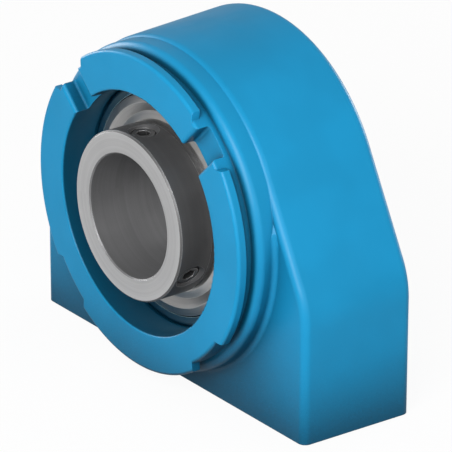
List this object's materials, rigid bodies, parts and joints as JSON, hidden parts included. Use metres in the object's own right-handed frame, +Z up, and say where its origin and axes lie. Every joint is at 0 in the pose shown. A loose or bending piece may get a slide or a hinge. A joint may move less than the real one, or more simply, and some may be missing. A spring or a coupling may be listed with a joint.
{
  "type": "pillow block bearing",
  "caption": "Insert ball bearing with set screw locking in a moulded short-base pillow block, with an arched body and a slotted snap collar.",
  "frame": {"origin": "on the base face, straight below the centre of the bearing", "axes": "+Z up from the base, the shaft along Y with the collar facing -Y, +X across the base"},
  "size_m": [0.1034, 0.0428, 0.0842],
  "materials": {
    "housing_plastic": "smooth moulded plastic with a soft gloss",
    "insert_steel": "turned",
    "ring_steel": "ground",
    "ball_steel": "polished",
    "cage_plastic": "moulded",
    "seal_rubber": "moulded",
    "flinger_steel": "pressed sheet",
    "screw_steel": "black oxide"
  },
  "bodies": {
    "block": {"housing": "housing_plastic", "base_insert_left": "insert_steel", "base_insert_right": "insert_steel"},
    "outer_race": {"outer_ring": "ring_steel", "seal_front": "seal_rubber", "seal_rear": "seal_rubber"},
    "inner_race": {"inner_ring": "ring_steel", "flinger_front": "flinger_steel", "flinger_rear": "flinger_steel"},
    "locking_screw_1": {"set_screw_1": "screw_steel"},
    "locking_screw_2": {"set_screw_2": "screw_steel"},
    "ball_cage": {"cage": "cage_plastic"},
    "rolling_ball_1": {"ball_1": "ball_steel"},
    "rolling_ball_2": {"ball_2": "ball_steel"},
    "rolling_ball_3": {"ball_3": "ball_steel"},
    "rolling_ball_4": {"ball_4": "ball_steel"},
    "rolling_ball_5": {"ball_5": "ball_steel"},
    "rolling_ball_6": {"ball_6": "ball_steel"},
    "rolling_ball_7": {"ball_7": "ball_steel"},
    "rolling_ball_8": {"ball_8": "ball_steel"},
    "rolling_ball_9": {"ball_9": "ball_steel"}
  },
  "joints": [
    {"name": "seat_tilt", "type": "hinge", "parent": "block", "child": "outer_race", "pos_m": [0, 0, 0.0429], "axis": [1, 0, 0], "range_deg": [-5, 5]},
    {"name": "shaft_spin", "type": "hinge", "parent": "outer_race", "child": "inner_race", "pos_m": [0, 0, 0.0429], "axis": [0, -1, 0], "continuous": true},
    {"name": "cage_orbit", "type": "hinge", "parent": "outer_race", "child": "ball_cage", "pos_m": [0, 0, 0.0429], "axis": [0, -1, 0], "continuous": true},
    {"name": "ball_1_spin", "type": "hinge", "parent": "ball_cage", "child": "rolling_ball_1", "pos_m": [0.0231, 0, 0.0429], "axis": [0, -1, 0], "continuous": true},
    {"name": "ball_2_spin", "type": "hinge", "parent": "ball_cage", "child": "rolling_ball_2", "pos_m": [0.0177, 0, 0.05775], "axis": [0, -1, 0], "continuous": true},
    {"name": "ball_3_spin", "type": "hinge", "parent": "ball_cage", "child": "rolling_ball_3", "pos_m": [0.00401, 0, 0.06565], "axis": [0, -1, 0], "continuous": true},
    {"name": "ball_4_spin", "type": "hinge", "parent": "ball_cage", "child": "rolling_ball_4", "pos_m": [-0.01155, 0, 0.06291], "axis": [0, -1, 0], "continuous": true},
    {"name": "ball_5_spin", "type": "hinge", "parent": "ball_cage", "child": "rolling_ball_5", "pos_m": [-0.02171, 0, 0.0508], "axis": [0, -1, 0], "continuous": true},
    {"name": "ball_6_spin", "type": "hinge", "parent": "ball_cage", "child": "rolling_ball_6", "pos_m": [-0.02171, 0, 0.035], "axis": [0, -1, 0], "continuous": true},
    {"name": "ball_7_spin", "type": "hinge", "parent": "ball_cage", "child": "rolling_ball_7", "pos_m": [-0.01155, 0, 0.02289], "axis": [0, -1, 0], "continuous": true},
    {"name": "ball_8_spin", "type": "hinge", "parent": "ball_cage", "child": "rolling_ball_8", "pos_m": [0.00401, 0, 0.02015], "axis": [0, -1, 0], "continuous": true},
    {"name": "ball_9_spin", "type": "hinge", "parent": "ball_cage", "child": "rolling_ball_9", "pos_m": [0.0177, 0, 0.02805], "axis": [0, -1, 0], "continuous": true},
    {"name": "set_screw_1_drive", "type": "slide", "parent": "inner_race", "child": "locking_screw_1", "axis": [0, 0, -1], "range_m": [-0.002, 0.0012]},
    {"name": "set_screw_2_drive", "type": "slide", "parent": "inner_race", "child": "locking_screw_2", "axis": [-0.866, 0, 0.5], "range_m": [-0.002, 0.0012]}
  ],
  "couplings": [
    {"joint": "cage_orbit", "follows": "shaft_spin", "ratio": 0.39692},
    {"joint": "ball_1_spin", "follows": "shaft_spin", "ratio": -2.3221},
    {"joint": "ball_2_spin", "follows": "shaft_spin", "ratio": -2.3221},
    {"joint": "ball_3_spin", "follows": "shaft_spin", "ratio": -2.3221},
    {"joint": "ball_4_spin", "follows": "shaft_spin", "ratio": -2.3221},
    {"joint": "ball_5_spin", "follows": "shaft_spin", "ratio": -2.3221},
    {"joint": "ball_6_spin", "follows": "shaft_spin", "ratio": -2.3221},
    {"joint": "ball_7_spin", "follows": "shaft_spin", "ratio": -2.3221},
    {"joint": "ball_8_spin", "follows": "shaft_spin", "ratio": -2.3221},
    {"joint": "ball_9_spin", "follows": "shaft_spin", "ratio": -2.3221}
  ]
}
